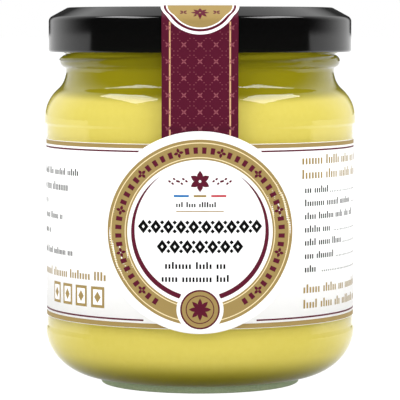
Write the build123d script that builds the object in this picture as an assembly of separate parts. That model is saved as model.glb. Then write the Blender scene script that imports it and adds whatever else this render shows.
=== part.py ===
from build123d import *
from math import acos, atan2, cos, degrees, hypot, radians, sin
import os

# A mustard jar: a round glass jar with a recessed label panel, a twist-off lid of black tinplate,
# and the mustard in it. A paper band is wrapped round the panel, a round medallion is pasted on
# the band's front, and a sealing strip runs from under the medallion up over the lid.
# Millimetres. Z is up, the origin is the middle of the base on the resting surface, front is -Y.

# ---- glass ----
body_r = 33.75  # contact ring above the label panel, the widest part
foot_ring_in = 0.13  # the contact ring below the panel is this much smaller
panel_recess = 0.5  # depth of the panel that carries the label
panel_height = 43.4
panel_step = 0.6  # height of the slope at each end of the panel
ring_land = 0.9  # straight part of the contact ring above the panel
heel_width = 12.0  # the rounded heel, a quarter of an ellipse, out from the foot
heel_height = 12.1  # its upper end, above the resting surface
foot_height = 1.5  # low upright foot inside the heel
foot_round = 0.35
bearing_width = 2.0  # flat ring that the jar stands on
push_up = 1.6  # height of the hollow under the base
push_up_edge = 3.0  # width of the hollow's sloped edge
base_glass = 4.2  # from the resting surface up to the inside floor
wall = 2.2  # side wall at the panel
shoulder_round = 8.3  # radius of the rounded shoulder
cove_round = 5.1  # radius of the hollow curve between shoulder and neck
neck_r = 29.15
neck_wall = 2.2
bead_over_cove = 0.75  # from the end of the cove up to the bead
bead_height = 2.9
bead_out = 1.25  # how far the bead stands out of the neck
rim_round = 1.05

# ---- thread lugs on the neck ----
lug_count = 4
lug_start = 15.0  # degrees from the front, towards +X
lug_span = 70.0  # degrees round the neck that each lug takes
lug_rise = 1.64  # height gained per radian
lug_round = 0.9
lug_sunk = 0.05  # the lug's centre line lies this far inside the neck
lug_over_bead = 0.45  # from the bead's middle up to the lug's low end

# ---- lid ----
lid_over_neck = 3.7  # from the neck out to the outside of the skirt
lid_gap = 0.55  # from the bead's top up to the lid's lower edge
lid_height = 9.6
plate = 0.35
curl_r = 0.55  # rolled lower edge
corner_drop = 2.25  # the sloped shoulder of the lid falls this much from the crown
crown_inside_neck = 0.43  # the slope meets the flat crown this far inside the neck's radius
crown_width = 9.22  # flat ring of the crown, outside the dish
corner_round = 1.3
crown_round = 1.0
dish_depth = 0.8  # shallow dish in the middle of the crown
dish_slope = 1.0
seal_gap = 0.1  # sealing compound between the glass rim and the lid

# ---- contents ----
headspace = 3.4  # from the mustard's surface up to the crown's plate
fill_gap = 0.05  # clearance between mustard and glass

# ---- paper ----
paper = 0.15
paper_gap = 0.03  # clearance under each layer of paper
band_under = 2.3  # bare panel below the band
band_over = 2.9  # bare panel above it
band_opening = 11.0  # bare glass between the band's ends at the back
medallion_over = 0.2  # bare panel above the medallion
medallion_under = 1.4  # bare panel below it
strip_width = 15.8
strip_tuck = 7.0  # how far the strip runs down under the medallion
strip_end_over = 0.25  # the strip's round end on the crown stands out this far on each side

# ---- worked out from the values above ----
foot_ring_r = body_r - foot_ring_in
foot_r = foot_ring_r - heel_width
panel_r = body_r - panel_recess
panel_low = heel_height + panel_step
panel_high = panel_low + panel_height
shoulder_z = panel_high + panel_step + ring_land
lid_r = neck_r + lid_over_neck
crown_r = neck_r - crown_inside_neck
dish_r = crown_r - crown_width
shoulder_turn = acos(1 - (body_r - neck_r) / (shoulder_round + cove_round))
neck_z = shoulder_z + (shoulder_round + cove_round) * sin(shoulder_turn)
bead_low = neck_z + bead_over_cove
bead_z = bead_low + bead_height / 2
lid_low = bead_low + bead_height + lid_gap
top_z = lid_low + lid_height
rim_z = top_z - plate - seal_gap
fill_z = top_z - plate - headspace
lid_corner_z = top_z - corner_drop
lid_slope = atan2(corner_drop, lid_r - crown_r)
band_r = panel_r + paper_gap
band_low = panel_low + band_under
band_high = panel_high - band_over
strip_r = band_r + paper + paper_gap
medallion_in = strip_r + paper + paper_gap
medallion_top = panel_high - medallion_over
medallion_r = (medallion_top - panel_low - medallion_under) / 2
medallion_z = medallion_top - medallion_r
strip_end_r = strip_width / 2 + strip_end_over


def cavity_line(gap, low_z, high_z):
    """Draws the inside of the glass, gap inside it, from the axis at low_z to the neck at high_z."""
    body = panel_r - wall
    neck = neck_r - neck_wall
    heel_in = heel_width - (panel_r - body) - (foot_ring_r - panel_r)
    heel_up = heel_height - base_glass
    shoulder_in = shoulder_round - (body_r - body)
    cove_in = cove_round + neck_wall
    turn = acos(1 - (body - neck) / (shoulder_in + cove_in))
    lift = (neck_z - shoulder_z - (shoulder_in + cove_in) * sin(turn)) / 2
    start_z = shoulder_z + lift
    end_z = neck_z - lift
    mid_r = body - shoulder_in + (shoulder_in - gap) * cos(turn)
    mid_z = start_z + (shoulder_in - gap) * sin(turn)
    half = turn / 2
    Line((0, low_z), (body - heel_in, low_z))
    EllipticalCenterArc((body - heel_in, heel_height), heel_in - gap, heel_up - gap, 270, arc_size=90)
    Line((body - gap, heel_height), (body - gap, start_z))
    ThreePointArc(
        (body - gap, start_z),
        (body - shoulder_in + (shoulder_in - gap) * cos(half), start_z + (shoulder_in - gap) * sin(half)),
        (mid_r, mid_z),
    )
    ThreePointArc(
        (mid_r, mid_z),
        (neck + cove_in - (cove_in + gap) * cos(half), end_z - (cove_in + gap) * sin(half)),
        (neck - gap, end_z),
    )
    Line((neck - gap, end_z), (neck - gap, high_z))


def make_jar():
    """The glass: the outside turned, less the cavity, with the thread lugs on the neck."""
    bearing_out = foot_r - foot_round
    bearing_in = bearing_out - bearing_width
    foot_in = foot_r - foot_round * (1 - cos(radians(45)))
    foot_low = foot_round * (1 - sin(radians(45)))
    half = shoulder_turn / 2
    mid_r = body_r - shoulder_round * (1 - cos(shoulder_turn))
    mid_z = shoulder_z + shoulder_round * sin(shoulder_turn)
    with BuildPart() as jar:
        with BuildSketch(Plane.XZ):
            with BuildLine():
                Polyline(
                    (0, push_up), (bearing_in - push_up_edge, push_up), (bearing_in, 0), (bearing_out, 0)
                )
                ThreePointArc((bearing_out, 0), (foot_in, foot_low), (foot_r, foot_round))
                Line((foot_r, foot_round), (foot_r, foot_height))
                EllipticalCenterArc(
                    (foot_r, heel_height), heel_width, heel_height - foot_height, 270, arc_size=90
                )
                Polyline(
                    (foot_ring_r, heel_height),
                    (panel_r, panel_low),
                    (panel_r, panel_high),
                    (body_r, panel_high + panel_step),
                    (body_r, shoulder_z),
                )
                ThreePointArc(
                    (body_r, shoulder_z),
                    (body_r - shoulder_round * (1 - cos(half)), shoulder_z + shoulder_round * sin(half)),
                    (mid_r, mid_z),
                )
                ThreePointArc(
                    (mid_r, mid_z),
                    (neck_r + cove_round * (1 - cos(half)), neck_z - cove_round * sin(half)),
                    (neck_r, neck_z),
                )
                Line((neck_r, neck_z), (neck_r, bead_low))
                ThreePointArc(
                    (neck_r, bead_low), (neck_r + bead_out, bead_z), (neck_r, bead_low + bead_height)
                )
                Line((neck_r, bead_low + bead_height), (neck_r, rim_z - rim_round))
                ThreePointArc(
                    (neck_r, rim_z - rim_round),
                    (
                        neck_r - rim_round * (1 - cos(radians(45))),
                        rim_z - rim_round * (1 - sin(radians(45))),
                    ),
                    (neck_r - rim_round, rim_z),
                )
                Polyline((neck_r - rim_round, rim_z), (0, rim_z), (0, push_up))
            make_face()
        revolve(axis=Axis.Z)
        with BuildSketch(Plane.XZ):
            with BuildLine():
                cavity_line(0, base_glass, rim_z)
                Polyline((neck_r - neck_wall, rim_z), (0, rim_z), (0, base_glass))
            make_face()
        revolve(axis=Axis.Z, mode=Mode.SUBTRACT)
    solid = jar.part
    for i in range(lug_count):
        solid = solid + make_lug(lug_start - 90 + i * 360 / lug_count)
    return solid


def make_lug(start):
    """One thread lug: a round ridge along a slightly tilted circle, with ball ends."""
    centre_r = neck_r - lug_sunk
    tilt = degrees(atan2(lug_rise, centre_r))
    low_z = bead_z + lug_over_bead
    mid_z = low_z + lug_rise * radians(lug_span) / 2
    with BuildPart() as lug:
        with BuildSketch(Plane.XZ):
            with Locations((centre_r, 0)):
                Circle(lug_round)
        revolve(axis=Axis.Z, revolution_arc=lug_span)
    ridge = lug.part
    for turn in (0, lug_span):
        ridge = ridge + Rot(0, 0, turn) * Pos(centre_r, 0, 0) * Sphere(lug_round)
    ridge = Rot(0, 0, -lug_span / 2) * ridge
    return Pos(0, 0, mid_z) * Rot(0, 0, start + lug_span / 2) * Rot(tilt, 0, 0) * ridge


def make_mustard():
    """The mustard: one solid that fills the glass up to fill_z."""
    with BuildPart() as mustard:
        with BuildSketch(Plane.XZ):
            with BuildLine():
                cavity_line(fill_gap, base_glass + fill_gap, fill_z)
                Polyline(
                    (neck_r - neck_wall - fill_gap, fill_z), (0, fill_z), (0, base_glass + fill_gap)
                )
            make_face()
        revolve(axis=Axis.Z)
    return mustard.part


def lid_points(out):
    """Corner and crown-edge points of the lid's outside, moved out by the given distance."""
    corner = (lid_r + out, lid_corner_z + out * (1 - sin(lid_slope)) / cos(lid_slope))
    crown = (crown_r + out * (1 - cos(lid_slope)) / sin(lid_slope), top_z + out)
    return corner, crown


def make_lid():
    """The lid: a pressed sheet with a rolled lower edge, resting on the glass rim."""
    corner, crown = lid_points(0)
    corner_in, crown_in = lid_points(-plate)
    sheet_low = lid_low + curl_r
    inside_r = lid_r - plate
    dish_z = top_z - dish_depth
    with BuildPart() as lid:
        with BuildSketch(Plane.XZ) as sheet:
            with BuildLine():
                Polyline(
                    (lid_r, sheet_low), corner, crown, (dish_r, top_z),
                    (dish_r - dish_slope, dish_z), (0, dish_z), (0, dish_z - plate),
                    (dish_r - dish_slope, dish_z - plate), (dish_r, top_z - plate),
                    crown_in, corner_in, (inside_r, sheet_low), close=True,
                )
            make_face()
            fillet(sheet.vertices().sort_by_distance((*corner, 0))[0], corner_round)
            fillet(sheet.vertices().sort_by_distance((*corner_in, 0))[0], corner_round - plate)
            fillet(sheet.vertices().sort_by_distance((*crown, 0))[0], crown_round)
            fillet(sheet.vertices().sort_by_distance((*crown_in, 0))[0], crown_round - plate)
            with Locations((lid_r - curl_r, sheet_low)):
                Circle(curl_r)
        revolve(axis=Axis.Z)
    return lid.part


def make_label():
    """The paper band, open at the back."""
    opening = degrees(band_opening / band_r)
    with BuildPart() as label:
        with BuildSketch(Plane.XZ):
            with BuildLine():
                Polyline(
                    (band_r, band_low), (band_r + paper, band_low),
                    (band_r + paper, band_high), (band_r, band_high), close=True,
                )
            make_face()
        revolve(axis=Axis.Z, revolution_arc=360 - opening)
    return Rot(0, 0, 90 + opening / 2) * label.part


def make_medallion():
    """The round front label, over the band and the strip."""
    with BuildPart() as medallion:
        with BuildSketch(Plane.XY.offset(medallion_z - medallion_r)):
            Circle(medallion_in + paper)
            Circle(medallion_in, mode=Mode.SUBTRACT)
        extrude(amount=2 * medallion_r)
        with BuildSketch(Plane.XZ):
            with Locations((0, medallion_z)):
                Circle(medallion_r)
        extrude(amount=2 * body_r, mode=Mode.INTERSECT)
    return medallion.part


def make_strip():
    """The sealing strip: up the jar's front, across to the lid, and over it to a round end."""
    low_z = medallion_top - strip_tuck
    corner, crown = lid_points(paper_gap)
    over_r = body_r + paper_gap
    skirt_z = lid_low + curl_r
    # the free run from shoulder to lid leaves the shoulder's curve on a tangent
    bend_r = shoulder_round + paper_gap
    bend_x = body_r - shoulder_round
    reach_x, reach_z = corner[0] - bend_x, skirt_z - shoulder_z
    leave = atan2(reach_z, reach_x) - acos(bend_r / hypot(reach_x, reach_z))
    leave_point = (bend_x + bend_r * cos(leave), shoulder_z + bend_r * sin(leave))
    with BuildPart() as strip:
        with BuildSketch(Plane.XZ) as side:
            with BuildLine() as path:
                Polyline(
                    (strip_r, low_z), (strip_r, panel_high), (over_r, panel_high + panel_step),
                    (over_r, shoulder_z),
                )
                ThreePointArc(
                    (over_r, shoulder_z),
                    (bend_x + bend_r * cos(leave / 2), shoulder_z + bend_r * sin(leave / 2)),
                    leave_point,
                )
                Polyline(
                    leave_point, (corner[0], skirt_z), corner, crown,
                    (crown_r - 1.5 * strip_end_r, top_z + paper_gap),
                )
                fillet(path.vertices().sort_by_distance((*corner, 0))[0], corner_round + paper_gap)
                fillet(path.vertices().sort_by_distance((*crown, 0))[0], crown_round + paper_gap)
                offset(amount=paper, side=Side.RIGHT)
            make_face()
        revolve(axis=Axis.Z, revolution_arc=60)
    turned = Rot(0, 0, -120) * strip.part
    reach = 2 * lid_r
    with BuildPart() as cutter:
        with BuildSketch():
            with Locations((0, -crown_r - reach / 2)):
                Rectangle(strip_width, reach)
            with Locations((0, -crown_r)):
                Circle(strip_end_r)
        extrude(amount=top_z + lid_height)
    return turned & cutter.part


nodes = {
    "jar": make_jar,
    "lid": make_lid,
    "mustard": make_mustard,
    "label": make_label,
    "medallion": make_medallion,
    "seal_strip": make_strip,
}

os.makedirs("parts", exist_ok=True)
for name, make in nodes.items():
    solid = make()
    solid.label = name
    export_step(solid, f"parts/{name}.step")
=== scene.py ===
from math import acos, atan2, cos, pi, radians, sin

import bpy
import numpy as np
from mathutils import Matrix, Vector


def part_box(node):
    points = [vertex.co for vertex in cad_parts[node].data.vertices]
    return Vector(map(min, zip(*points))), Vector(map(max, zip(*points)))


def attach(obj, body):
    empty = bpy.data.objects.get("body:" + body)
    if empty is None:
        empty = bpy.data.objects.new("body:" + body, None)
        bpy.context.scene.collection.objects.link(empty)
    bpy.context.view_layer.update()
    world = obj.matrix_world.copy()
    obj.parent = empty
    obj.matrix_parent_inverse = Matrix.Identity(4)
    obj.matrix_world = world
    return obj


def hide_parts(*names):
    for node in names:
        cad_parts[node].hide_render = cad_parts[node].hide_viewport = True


# A closed jar of mustard. Lengths below are in millimetres, and meshes are made in metres.
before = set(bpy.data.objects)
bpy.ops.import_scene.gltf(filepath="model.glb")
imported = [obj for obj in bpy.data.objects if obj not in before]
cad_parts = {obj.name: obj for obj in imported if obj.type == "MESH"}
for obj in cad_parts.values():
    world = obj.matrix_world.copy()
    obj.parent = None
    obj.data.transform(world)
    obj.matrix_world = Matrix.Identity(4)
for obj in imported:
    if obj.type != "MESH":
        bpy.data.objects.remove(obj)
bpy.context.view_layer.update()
mm = 0.001
rng = np.random.default_rng(21)
print("frame loaded")


# helpers for meshes

def topOf(node):
    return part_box(node)[1][2] / mm


def lowOf(node):
    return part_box(node)[0][2] / mm


def arc(centreR, centreZ, radiusR, radiusZ, startDeg, endDeg, steps=16):
    # points on an ellipse: centre + (radiusR * cos a, radiusZ * sin a)
    a = np.radians(np.linspace(startDeg, endDeg, steps))
    return np.stack([centreR + radiusR * np.cos(a), centreZ + radiusZ * np.sin(a)], 1)


def roundedPath(points, radii, steps=9):
    # straight runs, with each inner corner replaced by an arc tangent to both of its runs
    points = np.asarray(points, float)
    path = [points[:1]]
    for before, corner, after, radius in zip(points, points[1:], points[2:], radii):
        if radius == 0:
            path.append(corner[None])
            continue
        inward = (before - corner) / np.linalg.norm(before - corner)
        outward = (after - corner) / np.linalg.norm(after - corner)
        half = acos(np.clip(inward @ outward, -1, 1)) / 2
        middle = (inward + outward) / np.linalg.norm(inward + outward)
        centre = corner + middle * radius / sin(half)
        first = corner + inward * radius / np.tan(half) - centre
        last = corner + outward * radius / np.tan(half) - centre
        t = np.linspace(0, 1, steps)[:, None]
        turn = pi - 2 * half
        path.append(centre + (np.sin((1 - t) * turn) * first + np.sin(t * turn) * last) / sin(turn))
    path.append(points[-1:])
    return np.concatenate(path)


def evenly(path, step):
    # the same line with points no more than step apart
    runs = np.linalg.norm(np.diff(path, axis=0), axis=1)
    pieces = [np.linspace(a, b, max(2, int(np.ceil(run / step)) + 1))[:-1]
              for a, b, run in zip(path, path[1:], runs)]
    return np.concatenate(pieces + [path[-1:]])


def gridFaces(rows, columns, wrapRows=False):
    # one quad for each cell of a grid whose points are numbered row by row
    r = np.arange(rows if wrapRows else rows - 1)[:, None]
    c = np.arange(columns - 1)[None, :]
    r2 = (r + 1) % rows
    quads = np.stack([r * columns + c, r * columns + c + 1, r2 * columns + c + 1, r2 * columns + c], -1)
    return quads.reshape(-1, 4)


def addPiece(name, points, faces, material, slotName, *nodes):
    # a smooth-shaded mesh object that rides on the jar's one body
    mesh = bpy.data.meshes.new(name)
    mesh.from_pydata((np.asarray(points) * mm).tolist(), [], [list(face) for face in faces])
    mesh.validate()
    mesh.shade_smooth()
    piece = bpy.data.objects.new(name, mesh)
    bpy.context.scene.collection.objects.link(piece)
    mesh.materials.append(material)
    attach(piece, "root")
    if nodes:
        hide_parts(*nodes)
    return piece


def turned(profile, segments, bulge=None):
    # a profile (r, z) carried round the axis; both ends lie on the axis and are closed by a fan
    profile = np.asarray(profile, float)
    ring = profile[1:-1]
    size = len(ring)
    angle = np.linspace(0, 2 * pi, segments, endpoint=False)[:, None]
    out = 0 if bulge is None else bulge(angle, ring[None, :, 1], ring[None, :, 0])
    r = np.broadcast_to(ring[:, 0] + out, (segments, size))
    z = np.broadcast_to(ring[:, 1], (segments, size))
    points = np.stack([r * np.sin(angle), -r * np.cos(angle), z], -1).reshape(-1, 3)
    quads = gridFaces(segments, size, wrapRows=True)[:, ::-1]
    count = len(points)
    points = np.concatenate([points, [[0, 0, profile[0, 1]], [0, 0, profile[-1, 1]]]])
    first = np.arange(segments) * size
    following = np.roll(first, -1)
    low = np.stack([following, first, np.full(segments, count)], 1)
    high = np.stack([first, following, np.full(segments, count + 1)], 1) + [size - 1, size - 1, 0]
    return points, quads.tolist() + low.tolist() + high.tolist()


# helpers for materials

def hexColor(text):
    # sRGB hex to linear RGBA
    srgb = np.array([int(text[i:i + 2], 16) for i in (0, 2, 4)]) / 255
    linear = np.where(srgb <= 0.04045, srgb / 12.92, ((srgb + 0.055) / 1.055) ** 2.4)
    return (*linear.tolist(), 1.0)


def addNode(tree, kind, inputs=None, **settings):
    # a node with its settings, and each input given as a value or as the socket that feeds it
    node = tree.nodes.new(kind)
    for key, value in settings.items():
        setattr(node, key, value)
    for key, value in (inputs or {}).items():
        if isinstance(value, bpy.types.NodeSocket):
            tree.links.new(value, node.inputs[key])
        else:
            node.inputs[key].default_value = value
    return node


def newMaterial(name):
    material = bpy.data.materials.new(name)
    material.use_nodes = True
    material.node_tree.nodes.clear()
    return material, material.node_tree


def finish(tree, shader, volume=None):
    out = addNode(tree, "ShaderNodeOutputMaterial", {"Surface": shader})
    if volume:
        tree.links.new(volume, out.inputs["Volume"])


def places(tree, perMetre):
    # object coordinates, scaled so that one unit is one pattern cell
    coords = addNode(tree, "ShaderNodeTexCoord").outputs["Object"]
    return addNode(tree, "ShaderNodeMapping", {"Vector": coords, "Scale": (perMetre,) * 3}).outputs[0]


# materials

mustardLook = {
    "pale": "e6cd62", "yellow": "ecd56f", "bran": "6a5a1c",
    "speckEvery": 1.9, "speckShare": 0.16, "speckDepth": 0.55,
    # painted shade: darker tones mixed in by height, at the neck under the lid and just over the base
    "neckShadePainted": "a19110", "neckShadePaintedFrom": 60.9, "neckShadePaintedTo": 62.7,  # heights in millimetres
    "baseShadePainted": "94840f", "baseShadePaintedFrom": 8.6, "baseShadePaintedTo": 4.4,
}
glassLook = {
    "body": "fbfdf8", "shadow": "f4f7f0", "tint": "b9dcae", "density": 34.0, "rippleEvery": 9.0,
    # the foot's two mottle colours are painted reflection: dark green and pale streaks for what the foot
    # mirrors and lets through
    "stippleAndStreakEvery": 0.9, "footShadePainted": "8fa872", "footGlintPainted": "f2fae2", "stippleAndStreakShare": 0.62,
}


def flintGlass():
    # flint container glass, blown in an iron mould: clear, faintly green where it is thick
    material, tree = newMaterial("flint_glass")
    ripple = addNode(tree, "ShaderNodeTexNoise", {
        "Vector": places(tree, 1 / (glassLook["rippleEvery"] * mm)), "Detail": 1.0})
    bump = addNode(tree, "ShaderNodeBump",
                   {"Height": ripple.outputs[0], "Strength": 0.25, "Distance": 0.06 * mm})
    glass = addNode(tree, "ShaderNodeBsdfPrincipled", {
        "Base Color": hexColor(glassLook["body"]), "Roughness": 0.02, "IOR": 1.52,
        "Transmission Weight": 1.0, "Normal": bump.outputs[0]})
    # shadow and diffuse rays pass straight through, so that the lamps light what is inside
    clear = addNode(tree, "ShaderNodeBsdfTransparent", {"Color": hexColor(glassLook["shadow"])})
    rays = addNode(tree, "ShaderNodeLightPath")
    lit = addNode(tree, "ShaderNodeMath", {
        0: rays.outputs["Is Shadow Ray"], 1: rays.outputs["Is Diffuse Ray"]}, operation="MAXIMUM")
    mix = addNode(tree, "ShaderNodeMixShader", {0: lit.outputs[0], 1: glass.outputs[0], 2: clear.outputs[0]})
    tint = addNode(tree, "ShaderNodeVolumeAbsorption", {
        "Color": hexColor(glassLook["tint"]), "Density": glassLook["density"]})
    finish(tree, mix.outputs[0], tint.outputs[0])
    return material


def stippledGlassPaintedStreaks(clear):
    # the foot of the same glass, stippled by the mould: milky, so that it scatters light at the table, with
    # painted reflection, a mottle of dark green and pale streaks
    material = clear.copy()
    material.name = "stippled_glass_painted_streaks"
    tree = material.node_tree
    out = next(node for node in tree.nodes if node.type == "OUTPUT_MATERIAL")
    clearSurface = out.inputs["Surface"].links[0].from_socket
    stippleAndStreaks = addNode(tree, "ShaderNodeTexNoise", {
        "Vector": places(tree, 1 / (glassLook["stippleAndStreakEvery"] * mm)), "Detail": 2.0})
    # painted reflection: a dark green and pale mottle on the foot
    shade = addNode(tree, "ShaderNodeMixRGB", {
        0: stippleAndStreaks.outputs[0], 1: hexColor(glassLook["footShadePainted"]), 2: hexColor(glassLook["footGlintPainted"])})
    milkyAndPainted = addNode(tree, "ShaderNodeBsdfDiffuse", {"Color": shade.outputs[0]})
    mix = addNode(tree, "ShaderNodeMixShader", {
        0: glassLook["stippleAndStreakShare"], 1: clearSurface, 2: milkyAndPainted.outputs[0]})
    tree.links.new(mix.outputs[0], out.inputs["Surface"])
    return material


def blackLacquer():
    # black lacquered tinplate, stoved: deep gloss with a slight orange peel
    material, tree = newMaterial("black_lacquer")
    peel = addNode(tree, "ShaderNodeTexNoise", {"Vector": places(tree, 1 / (1.2 * mm)), "Detail": 2.0})
    bump = addNode(tree, "ShaderNodeBump",
                   {"Height": peel.outputs[0], "Strength": 0.12, "Distance": 0.02 * mm})
    shader = addNode(tree, "ShaderNodeBsdfPrincipled", {
        "Base Color": hexColor("090909"), "Roughness": 0.1, "IOR": 1.5, "Normal": bump.outputs[0]})
    finish(tree, shader.outputs[0])
    return material


def mustardPaste():
    # smooth ground mustard: even yellow with faint mottling and a few dark specks of bran,
    # with painted shade by height, darker where little light comes: at the neck under the lid and just over
    # the base
    material, tree = newMaterial("mustard_paste")
    mottle = addNode(tree, "ShaderNodeTexNoise", {"Vector": places(tree, 1 / (6 * mm)), "Detail": 4.0})
    base = addNode(tree, "ShaderNodeMixRGB", {
        0: mottle.outputs[0], 1: hexColor(mustardLook["pale"]), 2: hexColor(mustardLook["yellow"])})
    coords = addNode(tree, "ShaderNodeTexCoord").outputs["Object"]
    height = addNode(tree, "ShaderNodeSeparateXYZ", {0: coords}).outputs["Z"]
    shade = base.outputs[0]
    # painted shade: the colour darkens towards these tones by height
    for tone in ("neckShadePainted", "baseShadePainted"):
        start, end = mustardLook[tone + "From"] * mm, mustardLook[tone + "To"] * mm
        amount = addNode(tree, "ShaderNodeMapRange", {
            "Value": height, "From Min": start, "From Max": end}, interpolation_type="SMOOTHSTEP")
        withPaintedShade = addNode(tree, "ShaderNodeMixRGB", {
            0: amount.outputs[0], 1: shade, 2: hexColor(mustardLook[tone])})
        shade = withPaintedShade.outputs[0]
    fine = addNode(tree, "ShaderNodeTexVoronoi", {
        "Vector": places(tree, 1 / (mustardLook["speckEvery"] * mm))})
    dots = addNode(tree, "ShaderNodeMapRange", {
        "Value": fine.outputs["Distance"], "From Min": 0.07, "From Max": 0.12,
        "To Min": 1.0, "To Max": 0.0})
    chance = addNode(tree, "ShaderNodeSeparateColor", {"Color": fine.outputs["Color"]})
    few = addNode(tree, "ShaderNodeMath", {
        0: chance.outputs[0], 1: mustardLook["speckShare"]}, operation="LESS_THAN")
    specks = addNode(tree, "ShaderNodeMath", {0: dots.outputs[0], 1: few.outputs[0]}, operation="MULTIPLY")
    faint = addNode(tree, "ShaderNodeMath", {
        0: specks.outputs[0], 1: mustardLook["speckDepth"]}, operation="MULTIPLY")
    speckled = addNode(tree, "ShaderNodeMixRGB", {
        0: faint.outputs[0], 1: shade, 2: hexColor(mustardLook["bran"])})
    shader = addNode(tree, "ShaderNodeBsdfPrincipled", {
        "Base Color": speckled.outputs[0], "Roughness": 0.6, "Specular IOR Level": 0.1})
    finish(tree, shader.outputs[0])
    return material


def labelPaper(name, shade, roughness=0.5):
    # coated label paper, printed and varnished: satin, with a fine fibre grain
    material, tree = newMaterial(name)
    grain = addNode(tree, "ShaderNodeTexNoise", {"Vector": places(tree, 1 / (0.5 * mm)), "Detail": 3.0})
    tone = addNode(tree, "ShaderNodeMapRange",
                   {"Value": grain.outputs[0], "To Min": 0.97, "To Max": 1.03})
    colour = addNode(tree, "ShaderNodeMixRGB",
                     {0: 1.0, 1: hexColor(shade), 2: tone.outputs[0]}, blend_type="MULTIPLY")
    bump = addNode(tree, "ShaderNodeBump",
                   {"Height": grain.outputs[0], "Strength": 0.15, "Distance": 0.01 * mm})
    shader = addNode(tree, "ShaderNodeBsdfPrincipled", {
        "Base Color": colour.outputs[0], "Roughness": roughness, "Specular IOR Level": 0.15,
        "Normal": bump.outputs[0]})
    finish(tree, shader.outputs[0])
    return material


# the glass jar

jarSizes = {
    "footRing": 33.62, "panel": 33.25, "ring": 33.75, "neck": 29.15, "wall": 2.2, "neckWall": 2.2,
    "heelWidth": 12.0, "heelHeight": 12.1, "panelLow": 12.7, "panelHigh": 56.1, "panelStep": 0.6,
    "footHeight": 1.5, "footRound": 0.35, "bearing": 2.0, "pushUp": 1.6, "pushUpEdge": 3.0, "baseGlass": 4.2,
    "shoulderZ": 57.6, "shoulderRound": 8.3, "coveRound": 5.1,
    "beadOverCove": 0.75, "beadHeight": 2.9, "beadOut": 1.25, "rimRound": 1.05,
    "lugCount": 4, "lugStart": 15.0, "lugSpan": 70.0, "lugRise": 1.64, "lugRound": 0.9, "lugOverBead": 0.45,
    "fill": 0.35,  # the mustard reaches this far into the glass
}
j = jarSizes
shoulderTurn = np.degrees(acos(1 - (j["ring"] - j["neck"]) / (j["shoulderRound"] + j["coveRound"])))
neckZ = j["shoulderZ"] + (j["shoulderRound"] + j["coveRound"]) * sin(radians(shoulderTurn))
beadLow = neckZ + j["beadOverCove"]
beadZ = beadLow + j["beadHeight"] / 2
rimZ = topOf("jar")


def cavityProfile(gap, lowZ, highZ):
    # the inside of the glass moved inwards by gap: floor, elliptical heel, wall, shoulder, cove, neck
    body = j["panel"] - j["wall"]
    neck = j["neck"] - j["neckWall"]
    heelIn = j["heelWidth"] - j["wall"] - (j["footRing"] - j["panel"])
    heelUp = j["heelHeight"] - j["baseGlass"]
    shoulderIn = j["shoulderRound"] - (j["ring"] - body)
    coveIn = j["coveRound"] + j["neckWall"]
    turn = acos(1 - (body - neck) / (shoulderIn + coveIn))
    lift = (neckZ - j["shoulderZ"] - (shoulderIn + coveIn) * sin(turn)) / 2
    turnDeg = np.degrees(turn)
    heel = arc(body - heelIn, j["heelHeight"], heelIn - gap, heelUp - gap, 270, 360, 28)
    shoulder = arc(body - shoulderIn, j["shoulderZ"] + lift, shoulderIn - gap, shoulderIn - gap,
                   0, turnDeg, 12)
    cove = arc(neck + coveIn, neckZ - lift, coveIn + gap, coveIn + gap, 180 + turnDeg, 180, 12)
    return np.concatenate([[[0, lowZ]], heel, shoulder, cove[1:], [[neck - gap, highZ]]])


def outerProfile():
    # push-up, bearing ring, elliptical heel, label panel, shoulder, cove, bead, neck, rim
    foot = j["footRing"] - j["heelWidth"]
    bearingIn = foot - j["footRound"] - j["bearing"]
    base = roundedPath(
        [(0, j["pushUp"]), (bearingIn - j["pushUpEdge"], j["pushUp"]), (bearingIn, 0), (foot, 0),
         (foot, j["footHeight"])], (1.2, 0.4, j["footRound"]), 6)
    heel = arc(foot, j["heelHeight"], j["heelWidth"], j["heelHeight"] - j["footHeight"], 270, 360, 40)[1:]
    panel = roundedPath(
        [(j["footRing"], j["heelHeight"]), (j["panel"], j["panelLow"]), (j["panel"], j["panelHigh"]),
         (j["ring"], j["panelHigh"] + j["panelStep"]), (j["ring"], j["shoulderZ"])], (0.4, 0.4, 0.4), 5)
    shoulder = arc(j["ring"] - j["shoulderRound"], j["shoulderZ"], j["shoulderRound"], j["shoulderRound"],
                   0, shoulderTurn, 20)
    cove = arc(j["neck"] + j["coveRound"], neckZ, j["coveRound"], j["coveRound"], 180 + shoulderTurn, 180, 16)
    half = j["beadHeight"] / 2
    beadRadius = (half**2 + j["beadOut"]**2) / (2 * j["beadOut"])
    beadTurn = np.degrees(atan2(half, beadRadius - j["beadOut"]))
    bead = arc(j["neck"] + j["beadOut"] - beadRadius, beadZ, beadRadius, beadRadius, -beadTurn, beadTurn, 15)
    # the straight neck has many rows, for the thread lugs
    neckEnd = rimZ - j["rimRound"]
    threadZone = np.linspace((j["neck"], beadLow + j["beadHeight"]), (j["neck"], neckEnd), 42)[1:-1]
    rim = arc(j["neck"] - j["rimRound"], neckEnd, j["rimRound"], j["rimRound"], 0, 90, 7)
    return np.concatenate([base, heel, panel[1:], shoulder[1:], cove[1:], bead, threadZone, rim])


def lugBulge(angle, z, r):
    # four rounded ridges that climb at lugRise per radian, each fading out at its two ends
    bulge = np.zeros(np.broadcast(angle, z).shape)
    for i in range(j["lugCount"]):
        along = (angle - radians(j["lugStart"]) - i * 2 * pi / j["lugCount"]) % (2 * pi)
        along = np.where(along > 1.8 * pi, along - 2 * pi, along)
        span = radians(j["lugSpan"])
        middle = beadZ + j["lugOverBead"] + j["lugRise"] * along
        beyond = np.maximum(np.maximum(-along, along - span), 0) * j["neck"]
        height = j["lugRound"]**2 - (z - middle)**2 - beyond**2
        bulge = np.maximum(bulge, np.sqrt(np.maximum(height, 0)))
    return np.where((z > beadZ) & (z < rimZ - 2) & (r > j["neck"] - 0.1), bulge, 0)


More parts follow.
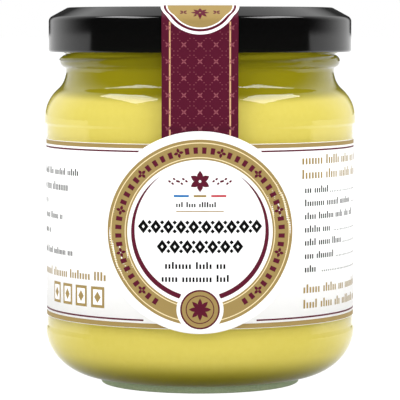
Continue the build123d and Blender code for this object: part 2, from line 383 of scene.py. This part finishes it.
def makeJar(material, footMaterial):
    inside = cavityProfile(0, j["baseGlass"], rimZ)[::-1]
    profile = np.concatenate([outerProfile(), inside])
    points, faces = turned(profile, 300, lugBulge)
    jar = addPiece("jar_glass", points, faces, material, "jar_glass", "jar")
    # the upright side of the foot is the stippled part, with its painted reflection
    jar.data.materials.append(footMaterial)
    centres = np.empty(3 * len(jar.data.polygons))
    jar.data.polygons.foreach_get("center", centres)
    x, y, z = centres.reshape(-1, 3).T / mm
    r = np.hypot(x, y)
    footR = j["footRing"] - j["heelWidth"]
    foot = (z < j["footHeight"] + 0.01) & (r > footR - j["footRound"]) & (r < footR + 0.01)
    jar.data.polygons.foreach_set("material_index", foot.astype(np.int32))


def makeMustard(material):
    # the contents, reaching a little into the glass all round; the surface is flat
    surface = topOf("mustard")
    profile = cavityProfile(-j["fill"], j["baseGlass"] - j["fill"], surface)
    profile = np.concatenate([profile, [[0, surface]]])
    points, faces = turned(profile, 200)
    addPiece("mustard_fill", points, faces, material, "mustard", "mustard")


glass = flintGlass()
makeJar(glass, stippledGlassPaintedStreaks(glass))
makeMustard(mustardPaste())
print("jar and mustard made")


# the lid

lidSizes = {
    "radius": 32.85, "plate": 0.35, "curl": 0.55, "cornerDrop": 2.25, "crown": 28.72,
    "cornerRound": 1.3, "crownRound": 1.0, "dish": 19.5, "dishDepth": 0.8, "dishSlope": 1.0, "dishRound": 0.5,
    "hem": 0.6,  # the inside of the skirt ends this far above the middle of the curl
}
l = lidSizes
lidTop = topOf("lid")
lidLow = lowOf("lid")
lidSlope = atan2(l["cornerDrop"], l["radius"] - l["crown"])


def lidCorners(out):
    # the skirt's upper corner and the crown's edge, moved outwards by out
    corner = (l["radius"] + out, lidTop - l["cornerDrop"] + out * (1 - sin(lidSlope)) / cos(lidSlope))
    crown = (l["crown"] + out * (1 - cos(lidSlope)) / sin(lidSlope), lidTop + out)
    return corner, crown


def makeLid(material):
    # one sheet: rolled edge, skirt, sloped shoulder, flat crown and a shallow dish
    curlZ = lidLow + l["curl"]
    curl = arc(l["radius"] - l["curl"], curlZ, l["curl"], l["curl"], 100, 360, 24)
    outerCorner, outerCrown = lidCorners(0)
    innerCorner, innerCrown = lidCorners(-l["plate"])
    dishZ = lidTop - l["dishDepth"]
    outside = roundedPath(
        [(l["radius"], curlZ), outerCorner, outerCrown, (l["dish"], lidTop),
         (l["dish"] - l["dishSlope"], dishZ), (0, dishZ)],
        (l["cornerRound"], l["crownRound"], l["dishRound"], l["dishRound"]))
    inside = roundedPath(
        [(0, dishZ - l["plate"]), (l["dish"] - l["dishSlope"], dishZ - l["plate"]),
         (l["dish"], lidTop - l["plate"]), innerCrown, innerCorner,
         (l["radius"] - l["plate"], curlZ + l["hem"])],
        (l["dishRound"], l["dishRound"], l["crownRound"] - l["plate"], l["cornerRound"] - l["plate"]))
    points, faces = turned(np.concatenate([outside[::-1], curl[::-1][1:], inside[::-1]]), 256)
    faces = [face[::-1] for face in faces]
    addPiece("lid_shell", points, faces, material, "lid_black", "lid")


makeLid(blackLacquer())
print("lid made")


# papers: places on the band, the medallion and the strip

paperSizes = {
    "thick": 0.15, "gap": 0.03, "lift": 0.008,  # lift: from one printed layer up to the next
    "bandOpening": 11.0, "stripWidth": 15.8, "stripEnd": 8.15, "stripTuck": 7.0,
}
p = paperSizes
bandR = j["panel"] + p["gap"]
stripR = bandR + p["thick"] + p["gap"]
medalR = stripR + p["thick"] + p["gap"]
medalLow, medalTop = lowOf("medallion"), topOf("medallion")
medalSize = (medalTop - medalLow) / 2
bandLow = lowOf("label")
bandTall = topOf("label") - bandLow
medalZ = (medalTop + medalLow) / 2


def onBand(s, z, out):
    # s along the circumference from the front, z up from the band's lower edge
    angle = s / bandR
    r = bandR + out
    return np.stack([r * np.sin(angle), -r * np.cos(angle), bandLow + z + 0 * s], -1)


def onMedallion(x, z, out):
    # x and z measured from the medallion's middle, as seen from the front
    return np.stack([x, -np.sqrt((medalR + out)**2 - x**2), z + medalZ], -1)


# up the panel, over the ring, round the shoulder, straight across to the skirt, and over the lid
bendR = j["shoulderRound"] + p["gap"]
reachR = l["radius"] - j["ring"] + bendR
reachZ = lidLow + l["curl"] - j["shoulderZ"]
leaveTurn = np.degrees(atan2(reachZ, reachR) - acos(bendR / np.hypot(reachR, reachZ)))
stripFoot = [(stripR, medalTop - p["stripTuck"]), (stripR, j["panelHigh"]),
             (j["ring"] + p["gap"], j["panelHigh"] + j["panelStep"])]
stripBend = arc(j["ring"] - j["shoulderRound"], j["shoulderZ"], bendR, bendR, 0, leaveTurn, 5)
stripHead = roundedPath(
    [stripBend[-1], (l["radius"] + p["gap"], lidLow + l["curl"]), *lidCorners(p["gap"]),
     (l["crown"] - 1.5 * p["stripEnd"], lidTop + p["gap"])],
    (12.0, l["cornerRound"] + p["gap"], l["crownRound"] + p["gap"]), 12)
stripLine = evenly(np.concatenate([stripFoot, stripBend, stripHead[1:]]), 0.2)
stripAlong = np.concatenate([[0], np.cumsum(np.linalg.norm(np.diff(stripLine, axis=0), axis=1))])
stripTurn = np.gradient(stripLine, stripAlong, axis=0)
stripCentre = float(np.interp(-l["crown"], -stripLine[:, 0], stripAlong))  # the middle of its round end


def onStrip(x, along, out):
    # x across the strip, along its length from the lower end
    lineR, lineZ = (np.interp(along, stripAlong, stripLine[:, k]) for k in (0, 1))
    turnR, turnZ = (np.interp(along, stripAlong, stripTurn[:, k]) for k in (0, 1))
    r = lineR + out * turnZ
    z = lineZ - out * turnR
    x = x + 0 * r
    return np.stack([x, -np.sqrt(r**2 - x**2), z], -1)


def sheetShell(place, a, b, thick):
    # a thin closed sheet: the grid (a, b) placed at both faces, with its edges joined
    rows, columns = a.shape
    outer = place(a, b, thick).reshape(-1, 3)
    inner = place(a, b, 0).reshape(-1, 3)
    count = rows * columns
    faces = gridFaces(rows, columns)
    edge = np.concatenate([
        np.arange(columns), np.arange(1, rows) * columns + columns - 1,
        (rows - 1) * columns + np.arange(columns - 2, -1, -1), np.arange(rows - 2, 0, -1) * columns])
    following = np.roll(edge, -1)
    side = np.stack([edge, edge + count, following + count, following], 1)
    return np.concatenate([outer, inner]), np.concatenate([faces, faces[:, ::-1] + count, side])


def roundGrid(radius, steps):
    # a disc from a square grid: x = u * sqrt(1 - v*v/2), z = v * sqrt(1 - u*u/2)
    u, v = np.meshgrid(np.linspace(-1, 1, steps), np.linspace(-1, 1, steps))
    return radius * u * np.sqrt(1 - v**2 / 2), radius * v * np.sqrt(1 - u**2 / 2)


def makeBand(material):
    reach = pi * bandR - p["bandOpening"] / 2
    s, z = np.meshgrid(np.linspace(-reach, reach, 360), np.linspace(0, bandTall, 3))
    points, faces = sheetShell(onBand, s, z, p["thick"])
    addPiece("band_paper", points, faces, material, "label_paper", "label")


def makeMedallion(material):
    x, z = roundGrid(medalSize, 61)
    points, faces = sheetShell(onMedallion, x, z, p["thick"])
    addPiece("medallion_paper", points, faces, material, "medallion_paper", "medallion")


def makeStrip(material):
    # full width up to the crown's edge, then a round end: half width = sqrt(R*R - past*past)
    end = stripCentre + p["stripEnd"]
    closer = stripCentre - 3  # from here on the rows lie closer together, for the round end
    along = np.concatenate([np.linspace(0, closer, 120),
                            closer + (end - closer) * np.sin(np.linspace(0, pi / 2, 60)[1:])])
    past = np.clip(along - stripCentre, -p["stripEnd"], p["stripEnd"])
    circle = np.sqrt(np.maximum(p["stripEnd"]**2 - past**2, 1e-4))
    half = np.where(along < stripCentre, np.maximum(p["stripWidth"] / 2, circle), circle)
    u = np.linspace(-1, 1, 25)
    points, faces = sheetShell(onStrip, half[:, None] * u, along[:, None] + 0 * u, p["thick"])
    addPiece("strip_paper", points, faces, material, "strip_paper", "seal_strip")


makeBand(labelPaper("band_paper", "fcfcfb"))
makeMedallion(labelPaper("medallion_paper", "fcfcfb"))
makeStrip(labelPaper("strip_paper", "540f28"))
print("papers made")


# prints: flat patches of ink, gathered by colour and joined

inks = {
    "gold": "9c8550", "burgundy": "5c142a", "black": "0b0b0b", "blue": "2173b2", "red": "bd444d",
    "cream": "ecdcae", "white": "fbfbfa", "peach": "d0a178", "peachFaint": "8d4a55",
}
printed = {name: [] for name in inks}
printCell = 0.8  # bars are divided about this finely, so that they follow the paper


def printPatch(ink, place, a, b, layer=1):
    # a grid of places on the paper, laid on it at its layer's height
    a, b = np.broadcast_arrays(np.asarray(a, float), np.asarray(b, float))
    points = place(a, b, p["thick"] + layer * p["lift"]).reshape(-1, 3)
    printed[ink].append((points, gridFaces(*a.shape)))


def printBar(ink, place, low, high, bottom, top, layer=1):
    # a rectangle of ink, as a grid
    columns = int(abs(high - low) / printCell) + 2
    rows = int((top - bottom) / printCell) + 2
    a, b = np.meshgrid(np.linspace(low, high, columns), np.linspace(bottom, top, rows))
    printPatch(ink, place, a, b, layer)


def printRing(ink, place, centre, inner, outer, layer=1, start=0.0, end=360.0, taper=None):
    # an annulus: centre + radius * (sin angle, cos angle)
    angle = np.radians(np.linspace(start, end, max(8, int((end - start) * outer / 30) + 8)))[None, :]
    t = np.linspace(0, 1, 4)[:, None]
    width = (outer - inner) * (1 if taper is None else taper(angle))
    radius = outer - width * (1 - t)
    printPatch(ink, place, centre[0] + radius * np.sin(angle), centre[1] + radius * np.cos(angle), layer)


def printDisc(ink, place, centre, radius, layer=1, cell=0.66):
    a, b = roundGrid(radius, max(5, int(2 * radius / cell) | 1))
    printPatch(ink, place, centre[0] + a, centre[1] + b, layer)


def printPetals(ink, place, centre, size, petals, turn=0.0, slim=0.32, layer=1):
    # each petal is a spindle: width slim * sin(pi * t) along its length
    t = np.linspace(0.12, 1, 7)[None, :]
    w = np.linspace(-1, 1, 3)[:, None]
    for i in range(petals):
        angle = radians(turn + i * 360 / petals)
        across = -w * slim * size * np.sin(pi * t)
        along = size * t + 0 * w
        printPatch(ink, place, centre[0] + along * sin(angle) + across * cos(angle),
                   centre[1] + along * cos(angle) - across * sin(angle), layer)


def printLozenge(ink, place, centre, halfWide, halfTall, layer=1):
    # a square grid turned on its corner: x = wide * (u - v), z = tall * (u + v)
    u, v = np.meshgrid(np.linspace(-0.5, 0.5, 4), np.linspace(-0.5, 0.5, 4))
    printPatch(ink, place, centre[0] + halfWide * (u - v), centre[1] + halfTall * (u + v), layer)


def printWords(ink, place, start, end, z, height, layer=1):
    # small print as groups of plain upright ticks, some of them taller, with a gap after each group
    tick, step = 0.3 * height, 0.52 * height
    at = start
    while at < end - height:
        for k in range(int(rng.integers(3, 10))):
            if at > end - tick:
                break
            rise = rng.choice((0.0, 0.0, 0.0, 0.35)) * height
            printBar(ink, place, at, at + tick, z - 0.42 * height, z + 0.3 * height + rise, layer)
            at += step
        at += 0.55 * height


bandPrint = {
    # heights are from the band's lower edge, and places along it from the front
    "lowStripe": (0.1, 1.05), "highStripe": (37.25, 38.1), "lowLine": (1.5, 1.85), "highLine": (36.45, 36.8),
    "stopAt": 11.9,  # the lines stop this far from the front, at the medallion's margin
    "rowHeight": 1.35, "boldHeight": 1.7, "headHeight": 1.8,
    "leftFrom": -62.0, "leftRows": (31.6, 28.4, 25.2, 22.1, 18.9, 14.6),
    "leftEnds": (27.5, 32.5, 45.0, 35.0, 42.0, 31.0), "boldRow": 1,
    "goldRow": (-49.0, -20.5, 10.1),
    "frames": (-38.15, -33.15, -28.15, -23.15), "frameHalf": 1.85, "frameLow": 3.7, "frameHigh": 8.1,
    "frameLine": 0.6, "frameLozenge": (0.9, 1.2),
    "headFrom": 23.0, "headTo": 62.0, "headRows": (34.4, 31.4),
    "rightFrom": 23.8, "rightRows": (28.2, 25.45, 22.7, 19.95, 17.2, 14.4, 11.6),
    "rightEnds": (31.5, 44.0, 47.0, 33.0, 37.0, 34.0, 28.5),
    "dotsAfter": 0.6, "dotsTo": 54.0, "dotEvery": 0.75, "dotSize": 0.3, "sumsFrom": 55.0, "sumsTo": 61.0,
    "footFrom": 23.4, "footTo": 60.0, "footRows": (7.4, 4.2),
}


def printBand():
    b = bandPrint
    reach = pi * bandR - p["bandOpening"] / 2
    for low, high in (b["lowStripe"], b["highStripe"]):
        printBar("gold", onBand, -reach, reach, low, high)
    for low, high in (b["lowLine"], b["highLine"]):
        for side in (-1, 1):
            ends = sorted((side * b["stopAt"], side * reach))
            printBar("burgundy", onBand, ends[0], ends[1], low, high)
    # left of the medallion: rows of small print, a gold row and four open frames
    for i, (z, inner) in enumerate(zip(b["leftRows"], b["leftEnds"])):
        height = b["boldHeight"] if i == b["boldRow"] else b["rowHeight"]
        printWords("black", onBand, b["leftFrom"], -inner, z, height)
    printWords("gold", onBand, *b["goldRow"], b["boldHeight"])
    for at in b["frames"]:
        low, high = at - b["frameHalf"], at + b["frameHalf"]
        line = b["frameLine"]
        printBar("gold", onBand, low, high, b["frameLow"], b["frameHigh"])
        printBar("white", onBand, low + line, high - line, b["frameLow"] + line, b["frameHigh"] - line, 2)
        printLozenge("gold", onBand, (at, (b["frameLow"] + b["frameHigh"]) / 2), *b["frameLozenge"], 3)
    # right of it: two gold rows, a table with dotted lines, and two gold rows
    for z in b["headRows"]:
        printWords("gold", onBand, b["headFrom"], b["headTo"], z, b["headHeight"])
    for z, end in zip(b["rightRows"], b["rightEnds"]):
        printWords("black", onBand, b["rightFrom"], end, z, b["rowHeight"])
        foot = z - b["rowHeight"] / 2
        for at in np.arange(end + b["dotsAfter"], b["dotsTo"], b["dotEvery"]):
            printBar("black", onBand, at, at + b["dotSize"], foot, foot + b["dotSize"])
        printWords("black", onBand, b["sumsFrom"], b["sumsTo"], z, b["rowHeight"])
    for z in b["footRows"]:
        printWords("gold", onBand, b["footFrom"], b["footTo"], z, b["boldHeight"])


medalPrint = {
    # lengths are from the medallion's middle
    "ring": (15.05, 19.2), "line": (15.5, 18.5), "lineWidth": 0.2,
    "dashes": (15.9, 18.0), "dashCount": 60, "dashTurn": 1.5, "dashShare": 0.62, "group": 5,
    "bareFrom": 150, "bareTo": 210,  # no dashes where the seal lies
    "crescent": 14.25, "crescentWidth": 1.0, "crescentEnds": (36.0, 163.0),
    "seal": -15.85, "sealSize": 4.1, "sealMargin": 0.75, "sealEdge": 0.35, "sealFlower": 2.3,
    "sealHeart": 0.55, "sealLine": (2.75, 2.95),
    "blossomZ": 10.6, "blossom": 2.2, "sprigFrom": 3.1, "sprigEvery": 0.95, "sprigRise": 0.25,
    "leaf": 0.75, "leafTurn": 35,
    "flags": ((-5.4, -2.3, "blue"), (-1.3, 1.3, "gold"), (2.3, 5.4, "red")), "flagLow": 7.35, "flagHigh": 7.8,
    "headRow": (-4.9, 4.9, 5.7, 1.0), "rule": (-4.9, 4.9, 4.3, 4.5),
    "titleRows": ((1.2, 10), (-2.9, 7)), "titleEvery": 2.6, "titleLozenge": (1.12, 1.45),
    "titleHole": (0.3, 0.4), "titleSquare": 0.46, "squareRise": 0.9,
    "footRows": ((-7.2, 5.6, -6.9, 1.35), (-7.9, 6.8, -9.6, 1.35)),
}


def crescentWidth(angle):
    # a point at the upper end, then width = sin(a quarter turn * share of the way down) to the power 0.7
    down = np.minimum(angle, 2 * pi - angle)
    upper, lower = np.radians(medalPrint["crescentEnds"])
    share = np.clip((down - upper) / (lower - upper), 0, 1)
    return np.sin(pi / 2 * share)**0.7 + 0.02


def printMedallion():
    m = medalPrint
    middle = (0, 0)
    printRing("gold", onMedallion, middle, *m["ring"])
    for radius in m["line"]:
        printRing("cream", onMedallion, middle, radius - m["lineWidth"] / 2, radius + m["lineWidth"] / 2, 2)
    # the ring carries a row of plain dashes with a lozenge between groups
    dashR = sum(m["dashes"]) / 2
    tall = (m["dashes"][1] - m["dashes"][0]) / 2
    half = tall * m["dashShare"]
    for i in range(m["dashCount"]):
        angle = (i + 0.5) * 360 / m["dashCount"]
        if m["bareFrom"] < angle < m["bareTo"]:
            continue
        if i % m["group"] == 2:
            spot = (dashR * sin(radians(angle)), dashR * cos(radians(angle)))
            printPetals("burgundy", onMedallion, spot, tall, 4, angle, 0.3, 2)
        else:
            printRing("burgundy", onMedallion, middle, dashR - half, dashR + half, 2,
                      angle - m["dashTurn"], angle + m["dashTurn"])
    # a crescent on each side: thickest low down, running out to a point near the top
    upper, lower = m["crescentEnds"]
    inner = m["crescent"] - m["crescentWidth"]
    for low, high in ((upper, lower), (360 - lower, 360 - upper)):
        printRing("burgundy", onMedallion, middle, inner, m["crescent"], 1, low, high, crescentWidth)
    # the round seal at the foot of the ring
    seal = (0, m["seal"])
    size = m["sealSize"]
    printDisc("white", onMedallion, seal, size + m["sealMargin"], 3)
    printDisc("burgundy", onMedallion, seal, size, 4)
    printDisc("gold", onMedallion, seal, size - m["sealEdge"], 5)
    printPetals("burgundy", onMedallion, seal, m["sealFlower"], 8, 0.0, 0.2, 6)
    printDisc("burgundy", onMedallion, seal, m["sealHeart"], 6)
    printRing("burgundy", onMedallion, seal, *m["sealLine"], 6)
    # the heading: a blossom between two sprigs, over three short bars and a rule
    printPetals("burgundy", onMedallion, (0, m["blossomZ"]), m["blossom"], 6, 0.0, 0.28)
    for side in (-1, 1):
        for k in range(4):
            spot = (side * (m["sprigFrom"] + m["sprigEvery"] * k), m["blossomZ"] + m["sprigRise"] * (-1)**k)
            printPetals("burgundy", onMedallion, spot, m["leaf"], 2, 90 - side * m["leafTurn"], 0.3)
    for low, high, ink in m["flags"]:
        printBar(ink, onMedallion, low, high, m["flagLow"], m["flagHigh"])
    printWords("black", onMedallion, *m["headRow"])
    printBar("gold", onMedallion, *m["rule"])
    # the title: two rows of bold lozenges with small squares between them, and two rows of small print
    for z, count in m["titleRows"]:
        for i in range(count):
            x = (i - (count - 1) / 2) * m["titleEvery"]
            printLozenge("black", onMedallion, (x, z), *m["titleLozenge"])
            printLozenge("white", onMedallion, (x, z), *m["titleHole"], 2)
            if i < count - 1:
                for side in (-1, 1):
                    spot = (x + m["titleEvery"] / 2, z + side * m["squareRise"])
                    printLozenge("black", onMedallion, spot, m["titleSquare"], m["titleSquare"])
    for row in m["footRows"]:
        printWords("black", onMedallion, *row)


stripPrint = {
    "lineAt": 6.2, "lineWidth": 0.32, "cell": 3.3, "rowStep": 1.73,
    "whiteRing": 0.62, "wineRing": 0.52, "thinRing": 0.28, "cellAt": 0.2,
}


def printStrip():
    s = stripPrint
    stop = stripCentre
    for side in (-1, 1):
        middle = side * s["lineAt"]
        printBar("peach", onStrip, middle - s["lineWidth"] / 2, middle + s["lineWidth"] / 2, 0.2, stop)
    # a lattice of dots with a small rosette in each diamond
    rows = int(stop / s["rowStep"])
    for row in range(rows):
        along = 0.6 + row * s["rowStep"]
        offset = s["cell"] / 2 if row % 2 else 0.0
        for k in range(-3, 4):
            x = k * s["cell"] + offset
            if abs(x) > p["stripWidth"] / 2 - 0.7:
                continue
            if row % 2 == 0:
                printPetals("peachFaint", onStrip, (x, along), 0.62, 4, 45.0, 0.26)
            for step in (0.25, 0.5, 0.75):
                for way in (-1, 1):
                    dotX = x + way * step * s["cell"] / 2
                    if abs(dotX) < p["stripWidth"] / 2 - 0.3:
                        printBar("peachFaint", onStrip, dotX - 0.09, dotX + 0.09,
                                 along + step * s["rowStep"] - 0.09, along + step * s["rowStep"] + 0.09)
    # the disc at the strip's end
    radius = p["stripEnd"]
    centre = (0, stop)
    printDisc("white", onStrip, centre, radius - 0.02, 2, s["cellAt"])
    radius -= s["whiteRing"]
    printDisc("burgundy", onStrip, centre, radius, 3, s["cellAt"])
    radius -= s["wineRing"]
    printDisc("white", onStrip, centre, radius, 4, s["cellAt"])
    radius -= s["thinRing"]
    printDisc("gold", onStrip, centre, radius, 5, s["cellAt"])
    printPetals("burgundy", onStrip, (0, stop - 3.2), 1.9, 8, 0.0, 0.2, 6)
    for side in (-1, 1):
        printPetals("burgundy", onStrip, (side * 3.4, stop - 3.0), 1.0, 4, 45.0, 0.25, 6)


printBand()
printMedallion()
printStrip()
for name, patches in printed.items():
    starts = np.cumsum([0] + [len(points) for points, _ in patches[:-1]])
    points = np.concatenate([points for points, _ in patches])
    faces = np.concatenate([faces + start for (_, faces), start in zip(patches, starts)])
    addPiece("ink_" + name, points, faces, labelPaper("ink_" + name, inks[name], 0.5), "label_paper")
print("prints made")


# studio

studio = {
    "aimZ": 39.6, "distance": 567.8, "elevation": 3.697, "lens": 234.0,  # millimetres and degrees
    "fill": 0.52, "floorGlow": 1.2, "floorShare": 0.85, "floorTone": "dcdcdc", "floorFront": "303028",
}
lamps = {
    # azimuth and elevation in degrees, distance, width and height in metres, power in watts, mirrored or not
    "key_left": (-48, 24, 0.8, 0.6, 0.6, 2.9, False), "high_left": (-86, 58, 0.6, 0.4, 0.18, 1.45, True),
    "key_right": (48, 24, 0.8, 0.6, 0.6, 2.9, False), "high_right": (86, 58, 0.6, 0.4, 0.18, 1.45, True),
    "back": (180, 30, 0.9, 0.8, 0.6, 3.4, False),
}


def areaLamp(name, azimuth, elevation, distance, width, height, power, mirrored):
    # a softbox aimed at the jar's middle
    a, e = radians(azimuth), radians(elevation)
    place = np.array([sin(a) * cos(e), -cos(a) * cos(e), sin(e)]) * distance
    data = bpy.data.lights.new(name, "AREA")
    data.shape = "RECTANGLE"
    data.size = width
    data.size_y = height
    data.energy = power
    lamp = bpy.data.objects.new(name, data)
    lamp.location = place + [0, 0, studio["aimZ"] * mm]
    lamp.rotation_euler = (pi / 2 - e, 0, a)
    lamp.visible_glossy = mirrored
    bpy.context.scene.collection.objects.link(lamp)


def makeWorld():
    # white to the camera; mirrored it is white at the sides, with a dark card behind and dark in front
    world = bpy.data.worlds.new("studio")
    world.use_nodes = True
    tree = world.node_tree
    tree.nodes.clear()
    rays = addNode(tree, "ShaderNodeLightPath")
    coords = addNode(tree, "ShaderNodeTexCoord").outputs["Generated"]
    direction = addNode(tree, "ShaderNodeSeparateXYZ", {0: coords})
    sweep = addNode(tree, "ShaderNodeMapRange", {
        "Value": direction.outputs["Y"], "From Min": 0.0, "From Max": 0.75,
        "To Min": 0.0, "To Max": 1.0},
        interpolation_type="SMOOTHSTEP")
    card = addNode(tree, "ShaderNodeMapRange", {
        "Value": direction.outputs["Y"], "From Min": 0.80, "From Max": 0.93})
    sideways = addNode(tree, "ShaderNodeMath", {0: direction.outputs["X"]}, operation="ABSOLUTE")
    middle = addNode(tree, "ShaderNodeMapRange", {
        "Value": sideways.outputs[0], "From Min": 0.3, "From Max": 0.45, "To Min": 0.95, "To Max": 0.0})
    card = addNode(tree, "ShaderNodeMath", {
        0: card.outputs[0], 1: middle.outputs[0]}, operation="MULTIPLY")
    light = addNode(tree, "ShaderNodeMath", {0: 1.0, 1: card.outputs[0]}, operation="SUBTRACT")
    sweep = addNode(tree, "ShaderNodeMath", {
        0: sweep.outputs[0], 1: light.outputs[0]}, operation="MULTIPLY")
    mirrored = addNode(tree, "ShaderNodeMix", {
        0: rays.outputs["Is Glossy Ray"], 2: studio["fill"], 3: sweep.outputs[0]})
    seen = addNode(tree, "ShaderNodeMath", {
        0: rays.outputs["Is Camera Ray"], 1: rays.outputs["Is Transmission Ray"]}, operation="MAXIMUM")
    strength = addNode(tree, "ShaderNodeMix", {0: seen.outputs[0], 2: mirrored.outputs[0], 3: 1.0})
    background = addNode(tree, "ShaderNodeBackground", {
        "Color": (1, 1, 1, 1), "Strength": strength.outputs[0]})
    addNode(tree, "ShaderNodeOutputWorld", {"Surface": background.outputs[0]})
    bpy.context.scene.world = world


def makeFloor():
    # a white sweep that keeps the jar's soft shadow, and that mirrors dark in front of the jar
    reach = 30000.0
    mesh = bpy.data.meshes.new("floor")
    corners = np.array([[-1, -1, 0], [1, -1, 0], [1, 1, 0], [-1, 1, 0]]) * reach * mm
    mesh.from_pydata(corners.tolist(), [], [[0, 1, 2, 3]])
    material, tree = newMaterial("white_floor")
    rays = addNode(tree, "ShaderNodeLightPath")
    glow = addNode(tree, "ShaderNodeEmission", {
        "Color": (1, 1, 1, 1), "Strength": studio["floorGlow"]})
    coords = addNode(tree, "ShaderNodeTexCoord").outputs["Object"]
    depth = addNode(tree, "ShaderNodeSeparateXYZ", {0: coords}).outputs["Y"]
    behind = addNode(tree, "ShaderNodeMapRange", {"Value": depth, "From Min": -0.03, "From Max": 0.03})
    mirrored = addNode(tree, "ShaderNodeMath", {0: rays.outputs["Is Glossy Ray"], 1: behind.outputs[0]},
                       operation="MULTIPLY")
    inFront = addNode(tree, "ShaderNodeMath", {0: rays.outputs["Is Glossy Ray"], 1: mirrored.outputs[0]},
                      operation="SUBTRACT")
    tone = addNode(tree, "ShaderNodeMixRGB", {
        0: inFront.outputs[0], 1: hexColor(studio["floorTone"]), 2: hexColor(studio["floorFront"])})
    plain = addNode(tree, "ShaderNodeBsdfDiffuse", {"Color": tone.outputs[0]})
    seen = addNode(tree, "ShaderNodeMath", {
        0: rays.outputs["Is Camera Ray"], 1: rays.outputs["Is Transmission Ray"]}, operation="MAXIMUM")
    seen = addNode(tree, "ShaderNodeMath", {
        0: seen.outputs[0], 1: mirrored.outputs[0]}, operation="MAXIMUM")
    share = addNode(tree, "ShaderNodeMath", {
        0: seen.outputs[0], 1: studio["floorShare"]}, operation="MULTIPLY")
    mix = addNode(tree, "ShaderNodeMixShader", {0: share.outputs[0], 1: plain.outputs[0], 2: glow.outputs[0]})
    finish(tree, mix.outputs[0])
    mesh.materials.append(material)
    floor = bpy.data.objects.new("floor", mesh)
    bpy.context.scene.collection.objects.link(floor)


def makeCamera():
    s = studio
    data = bpy.data.cameras.new("camera")
    data.sensor_width = 36.0
    data.lens = s["lens"]
    data.clip_start = 0.01
    data.clip_end = 100.0
    camera = bpy.data.objects.new("camera", data)
    e = radians(s["elevation"])
    camera.location = (0, -s["distance"] * cos(e) * mm, (s["aimZ"] + s["distance"] * sin(e)) * mm)
    camera.rotation_euler = (pi / 2 - e, 0, 0)
    bpy.context.scene.collection.objects.link(camera)
    bpy.context.scene.camera = camera


makeWorld()
makeFloor()
for name, settings in lamps.items():
    areaLamp(name, *settings)
makeCamera()
bpy.context.scene.view_settings.view_transform = "Standard"
print("studio made")
